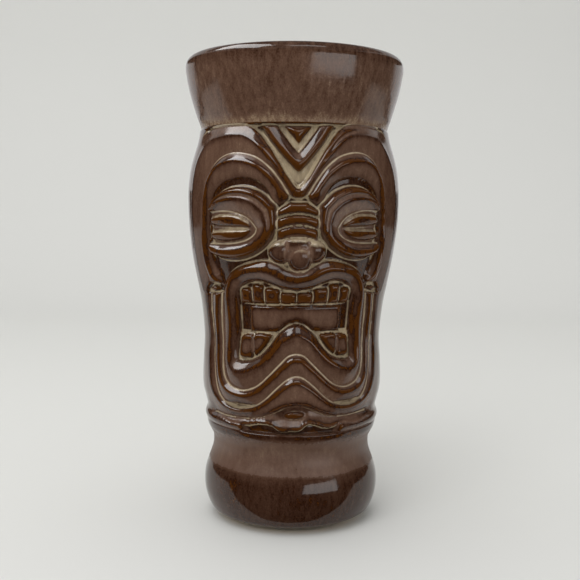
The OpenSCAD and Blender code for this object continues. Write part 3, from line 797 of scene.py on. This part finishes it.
# Pedestal: its flat base, its outside, and the well that the lining fills
base_line = np.array([(r, FOOT_Z) for r in (3, 9, 16, 20, 26.4)])
inside_line = cavity_line(LINING)
below_neck = inside_line[inside_line[:, 1] < NECK_Z - 0.3][::-1]
well = np.vstack([[[cavity_side(NECK_Z) + LINING, NECK_Z]], below_neck])
pedestal_points = np.concatenate([ring_points(base_line[:, 0], base_line[:, 1]), stack_points[:first + 1],
                                  ring_points(well[:, 0], well[:, 1])])
pedestal_normals = np.concatenate([np.broadcast_to([0, 0, -1.0], (len(base_line), count_u, 3)),
                                   stack_normals[:first + 1], -radial[:1].repeat(len(well), 0)])
heights = np.concatenate([base_line[:, 1], stack_z[:first + 1], well[:, 1]])
collar = np.exp(-((heights - 34.6) / 1.7)**2)
# Darker below about 21 mm, and a little darker again below about 18 mm
darker_low = 0.62 * smoothstep(21.6, 20, heights) + 0.15 * smoothstep(20, 17, heights)
pieces["pedestal"] = revolved("pedestal", pedestal_points, pedestal_normals, 0.9 * collar + darker_low - 0.05,
                              False, [(0, FOOT_Z, -1), (-1, DISH_Z - DISH_DEPTH - LINING, 1)])

# Rim band, over the lip and down inside it
above = inside_line[inside_line[:, 1] > RIM_Z + 0.3][::-1]
rim_inside = np.vstack([above, [[cavity_side(RIM_Z) + LINING, RIM_Z]]])
rim_points = np.concatenate([stack_points[last - 1:], ring_points(rim_inside[:, 0], rim_inside[:, 1])])
rim_normals = np.concatenate([stack_normals[last - 1:], -radial[:1].repeat(len(rim_inside), 0)])
heights = np.concatenate([stack_z[last - 1:], rim_inside[:, 1]])
rim_thin = 0.12 - 0.5 * smoothstep(144, 140.5, heights) + 0.45 * smoothstep(158, 164.5, heights)
pieces["rim_band"] = revolved("rim_band", rim_points, rim_normals, rim_thin, True)

# Lining
lining_line = np.vstack([inside_line, cavity_line(0)[::-1]])
lining_points = ring_points(lining_line[:, 0], lining_line[:, 1])
pieces["lining"] = revolved("lining", lining_points, None, np.zeros(len(lining_line)), False,
                            [(0, DISH_Z - DISH_DEPTH - LINING, -1), (-1, DISH_Z - DISH_DEPTH, 1)])

# ---- Materials ----


def linear(red, green, blue):
    """A display colour, 0 to 255, as Blender's linear colour."""
    made = []
    for c in (red, green, blue):
        c /= 255
        made.append(c / 12.92 if c <= 0.04045 else ((c + 0.055) / 1.055)**2.4)
    return (*made, 1.0)


class Nodes:
    """A short way to write a node tree."""

    def __init__(self, name):
        self.material = bpy.data.materials.new(name)
        self.material.use_nodes = True
        self.tree = self.material.node_tree
        self.shader = self.tree.nodes["Principled BSDF"]

    def add(self, kind, **settings):
        node = self.tree.nodes.new(kind)
        for key, value in settings.items():
            if key in node.inputs:
                node.inputs[key].default_value = value
            else:
                setattr(node, key, value)
        return node

    def link(self, out, into):
        self.tree.links.new(out, into)

    def math(self, operation, a, b):
        node = self.add("ShaderNodeMath", operation=operation)
        for socket, value in zip(node.inputs, (a, b)):
            if isinstance(value, (int, float)):
                socket.default_value = value
            else:
                self.link(value, socket)
        return node.outputs[0]

    def noise(self, size, detail=3.0, stretch=1.0, rough=0.55, offset=0.0):
        """Noise whose patches are about the given size in millimetres, longer upright by stretch."""
        if not hasattr(self, "coordinates"):
            self.coordinates = self.add("ShaderNodeTexCoord").outputs["Object"]
        mapping = self.add("ShaderNodeMapping")
        mapping.inputs["Location"].default_value = (offset, offset * 0.7, offset * 1.3)
        mapping.inputs["Scale"].default_value = (1.0, 1.0, 1.0 / stretch)
        self.link(self.coordinates, mapping.inputs["Vector"])
        node = self.add("ShaderNodeTexNoise", Scale=1.0 / (size * MM), Detail=detail, Roughness=rough)
        self.link(mapping.outputs[0], node.inputs["Vector"])
        return node.outputs["Fac"]

    def attribute(self, name):
        return self.add("ShaderNodeAttribute", attribute_name=name).outputs["Fac"]

    def ramp(self, value, low, high, stops):
        """Colours, or greys, along a value that runs from low to high."""
        spread = self.add("ShaderNodeMapRange")
        spread.inputs["From Min"].default_value = low
        spread.inputs["From Max"].default_value = high
        self.link(value, spread.inputs["Value"])
        ramp = self.add("ShaderNodeValToRGB")
        elements = ramp.color_ramp.elements
        for k, (at, colour) in enumerate(stops):
            e = elements[k] if k < 2 else elements.new(0.5)
            e.position = (at - low) / (high - low)
            e.color = colour if isinstance(colour, tuple) else (colour, colour, colour, 1)
        self.link(spread.outputs[0], ramp.inputs["Fac"])
        return ramp.outputs["Color"]

    def mix(self, amount, a, b):
        node = self.add("ShaderNodeMix", data_type="RGBA")
        for socket, value in ((node.inputs["Factor"], amount), (node.inputs[6], a), (node.inputs[7], b)):
            if isinstance(value, (int, float, tuple)):
                socket.default_value = value
            else:
                self.link(value, socket)
        return node.outputs[2]

    def bump(self, height, depth, after=None):
        """Bump whose full height is the given depth in millimetres."""
        node = self.add("ShaderNodeBump", Strength=1.0, Distance=depth * MM)
        self.link(height, node.inputs["Height"])
        if after is not None:
            self.link(after, node.inputs["Normal"])
        return node.outputs[0]

    def varied(self, value, field, amount):
        """A value that a noise field raises and lowers, by half the amount each way at most."""
        return self.math("ADD", value, self.math("MULTIPLY", self.math("SUBTRACT", field, 0.5), amount))

    def done(self, colour, rough, normal):
        self.link(colour, self.shader.inputs["Base Color"])
        self.link(rough, self.shader.inputs["Roughness"])
        self.link(normal, self.shader.inputs["Normal"])
        return self.material


BEIGE = linear(196, 178, 148)
PALE = linear(138, 114, 90)
MAUVE = linear(104, 77, 62)
BROWN = linear(82, 50, 29)
AMBER = linear(76, 42, 11)
DARK = linear(40, 16, 4)
LEAST, MOST = -1.2, 1.2     # the range of the value that the glaze's colour and gloss follow


def glaze_material(name, bias=0.0, mottle=1.0, satin=0.0):
    """Brown glaze: pale and mauve where thick, amber then dark as it thins, beige where it pools; the same
    values carry painted shade in recesses and on the flanks and painted highlights on upper faces.
    """
    n = Nodes(name)
    thin_and_shade = n.attribute("glaze")
    patches = n.noise(14, 3, 1.0, 0.6)
    streaks = n.noise(1.5, 4, 3.0, 0.6, 0.3)
    grain = n.noise(0.5, 3, 1.2, 0.7, 0.7)
    value = n.math("ADD", thin_and_shade, bias)
    for field, amount in ((patches, 0.55), (streaks, 0.9 * mottle), (grain, 0.8 * mottle)):
        value = n.varied(value, field, amount)
    colour = n.ramp(value, LEAST, MOST, [(-0.6, PALE), (-0.1, MAUVE), (0.15, BROWN), (0.36, AMBER),
                                         (0.9, DARK)])
    edge = n.varied(n.varied(n.attribute("pool_and_highlight"), streaks, 0.7), patches, 0.8)
    pooled_and_highlight = n.ramp(edge, 0.0, 1.0, [(0.25, 0.0), (0.85, 0.85)])
    colour = n.mix(pooled_and_highlight, colour, BEIGE)
    rough = n.ramp(value, LEAST, MOST, [(-1.0, 0.34 + satin), (-0.05, 0.22 + satin), (0.25, 0.09),
                                        (0.6, 0.04)])
    peel = n.bump(n.noise(3.2, 1, 1.0, 0.4, 0.9), 0.04)
    pits = n.bump(n.noise(0.8, 2, 1.0, 0.5, 1.1), 0.008, after=peel)
    return n.done(colour, rough, pits)


def inner_material():
    """The smoother brown glaze inside the cup."""
    n = Nodes("inner_glaze")
    patches = n.noise(16, 3, 1.5, 0.6, 2.0)
    streaks = n.noise(2.2, 3, 4.0, 0.6, 2.3)
    value = n.math("ADD", patches, n.math("MULTIPLY", streaks, 0.6))
    colour = n.ramp(value, 0.4, 1.2, [(0.45, linear(58, 36, 26)), (0.75, linear(84, 60, 48)),
                                      (1.15, linear(112, 88, 72))])
    rough = n.ramp(value, 0.4, 1.2, [(0.4, 0.08), (1.2, 0.2)])
    return n.done(colour, rough, n.bump(n.noise(3.0, 1, 1.0, 0.4, 2.9), 0.05))


def clay_material():
    """Bare fired clay under the foot."""
    n = Nodes("bare_clay")
    specks = n.noise(0.5, 3, 1.0, 0.6, 3.0)
    patches = n.noise(5, 2, 1.0, 0.5, 3.3)
    value = n.math("ADD", n.math("MULTIPLY", specks, 0.6), n.math("MULTIPLY", patches, 0.4))
    colour = n.ramp(value, 0.2, 0.8, [(0.25, linear(150, 122, 92)), (0.5, linear(190, 168, 138)),
                                      (0.78, linear(214, 198, 172))])
    rough = n.ramp(value, 0.2, 0.8, [(0.2, 0.95), (0.8, 0.8)])
    return n.done(colour, rough, n.bump(specks, 0.12))


rim_glaze = glaze_material("rim_glaze", mottle=1.6)
pedestal_glaze = glaze_material("pedestal_glaze", mottle=0.8, satin=0.2)
mask_glaze = glaze_material("mask_glaze")
ridge_glaze = glaze_material("ridge_glaze", bias=0.12)
OWN_LOOKS = {"foot_ring": (clay_material(), "bare_clay"), "lining": (inner_material(), "inner_glaze"),
             "rim_band": (rim_glaze, "mask_glaze"), "pedestal": (pedestal_glaze, "mask_glaze")}
RIDGES = ("forehead", "eye_roll", "nose_bridge", "nose_ring", "upper_teeth", "lower_teeth", "ear_stud",
          "chin_crease")
for name, piece in pieces.items():
    usual = (ridge_glaze, "ridge_glaze") if name.startswith(RIDGES) else (mask_glaze, "mask_glaze")
    material, slot = OWN_LOOKS.get(name, usual)
    piece.data.materials.append(material)

# ---- Stage, light and camera ----


def paper_material():
    """Matt pale paper, very slightly uneven."""
    n = Nodes("paper")
    colour = linear(226, 226, 223)
    shaded = tuple(0.97 * c for c in colour[:3]) + (1,)
    tone = n.noise(900, 2, 1.0, 0.5, 5.0)
    n.link(n.ramp(tone, 0.3, 0.7, [(0.3, shaded), (0.7, colour)]), n.shader.inputs["Base Color"])
    n.shader.inputs["Roughness"].default_value = 0.6
    n.shader.inputs["Specular IOR Level"].default_value = 0.1
    return n.material


STAGE_HALF = 2500.0


def sheet(name, outline, material):
    """A staged sheet swept along X from a list of (y, z) points in millimetres."""
    points = []
    for y, z in outline:
        points += [(-STAGE_HALF * MM, y * MM, z * MM), (STAGE_HALF * MM, y * MM, z * MM)]
    faces = [(2 * k, 2 * k + 1, 2 * k + 3, 2 * k + 2) for k in range(len(outline) - 1)]
    mesh = bpy.data.meshes.new(name)
    mesh.from_pydata(points, [], faces)
    mesh.polygons.foreach_set("use_smooth", np.ones(len(faces), bool))
    made = bpy.data.objects.new(name, mesh)
    mesh.materials.append(material)
    bpy.context.scene.collection.objects.link(made)
    return made


# The floor, which bends up into the wall behind; the glaze mirrors cards in its place
COVE_R = 420.0
COVE_Y = 620.0
WALL_TOP = 2600.0
turns = np.radians(np.arange(6, 91, 6))
bend = [(COVE_Y + COVE_R * math.sin(a), COVE_R * (1 - math.cos(a))) for a in turns]
cove = [(-STAGE_HALF, 0), (-600, 0), (0, 0), (COVE_Y, 0)] + bend + [(COVE_Y + COVE_R, WALL_TOP)]
paper = paper_material()
floor = sheet("floor", cove, paper)
floor.visible_glossy = False
shown_paper = sheet("floor_seen_in_glaze", [(-32, 0), (0, 0), (600, 0)], paper)
shown_paper.visible_camera = False
shown_paper.visible_diffuse = False
shown_paper.visible_shadow = False
shown_paper.location.z = 0.02 * MM


def card(name, centre, width, height, brightness, aim=(0, 0, 90)):
    """A card that only the glaze reflects, facing a point on or near the mug."""
    material = bpy.data.materials.new(name)
    material.use_nodes = True
    tree = material.node_tree
    tree.nodes.clear()
    glow = tree.nodes.new("ShaderNodeEmission")
    glow.inputs["Color"].default_value = (1, 1, 1, 1)
    glow.inputs["Strength"].default_value = brightness
    out = tree.nodes.new("ShaderNodeOutputMaterial")
    tree.links.new(glow.outputs[0], out.inputs["Surface"])
    mesh = bpy.data.meshes.new(name)
    w, h = width * MM / 2, height * MM / 2
    mesh.from_pydata([(-w, -h, 0), (w, -h, 0), (w, h, 0), (-w, h, 0)], [], [(0, 1, 2, 3)])
    mesh.materials.append(material)
    made = bpy.data.objects.new(name, mesh)
    made.location = Vector(centre) * MM
    facing = Vector(aim) * MM - made.location
    made.rotation_mode = "QUATERNION"
    made.rotation_quaternion = facing.to_track_quat("Z", "Y")
    made.visible_camera = False
    made.visible_diffuse = False
    made.visible_shadow = False
    made.visible_transmission = False
    bpy.context.scene.collection.objects.link(made)
    return made


def area_light(name, centre, size, power):
    """A soft light on the mug, which the glaze doesn't mirror."""
    light = bpy.data.lights.new(name, "AREA")
    light.shape = "RECTANGLE"
    light.size, light.size_y = size[0] * MM, size[1] * MM
    light.energy = power
    made = bpy.data.objects.new(name, light)
    made.location = Vector(centre) * MM
    made.rotation_mode = "QUATERNION"
    made.rotation_quaternion = (Vector((0, 0, 80)) * MM - made.location).to_track_quat("-Z", "Y")
    made.visible_glossy = False
    bpy.context.scene.collection.objects.link(made)
    return made


world = bpy.data.worlds.new("studio")
bpy.context.scene.world = world
world.use_nodes = True
background = world.node_tree.nodes["Background"]
background.inputs["Color"].default_value = (1.0, 1.0, 0.99, 1)
background.inputs["Strength"].default_value = 0.6

area_light("ceiling", (-200, 100, 1500), (1500, 1500), 7.0)
area_light("window", (-350, -700, 900), (700, 900), 4.6)

# What the glaze mirrors: a dark room with a dim ceiling, three windows and the paper behind
DARK_ROOM = 0.01
card("dark_room", (0, -900, 250), 2400, 640, DARK_ROOM)
for side_name, x in (("dark_left", -1000), ("dark_right", 1000)):
    card(side_name, (x, 500, 330), 3000, 800, DARK_ROOM, aim=(0, 500, 330))
card("dark_table", (0, -544, -40), 3000, 1000, DARK_ROOM, aim=(0, -544, 90))
card("ceiling_seen_in_glaze", (0, -200, 1200), 3200, 2600, 0.14)
card("window_left", (-600, -150, 1020), 1050, 560, 7.0)
card("window_top", (160, -560, 1000), 560, 340, 2.6)
card("window_right", (560, -680, 60), 760, 430, 2.0)
card("paper_behind_rim", (0, 200, 166), 620, 80, 0.75)

# The photographer's camera
CAMERA_PLACE = (-0.9, -316.9, 109.4)
PITCH = math.radians(-4.88)
ROLL = math.radians(0.61)
camera_data = bpy.data.cameras.new("camera")
camera_data.lens = 53.6
camera_data.sensor_width = 36.0
camera_data.clip_start = 0.01
camera = bpy.data.objects.new("camera", camera_data)
aimed = Matrix.Rotation(math.radians(90) + PITCH, 4, "X") @ Matrix.Rotation(ROLL, 4, "Z")
camera.matrix_world = Matrix.Translation(Vector(CAMERA_PLACE) * MM) @ aimed
bpy.context.scene.collection.objects.link(camera)
bpy.context.scene.camera = camera
bpy.context.scene.view_settings.view_transform = "Standard"

bpy.context.view_layer.update()
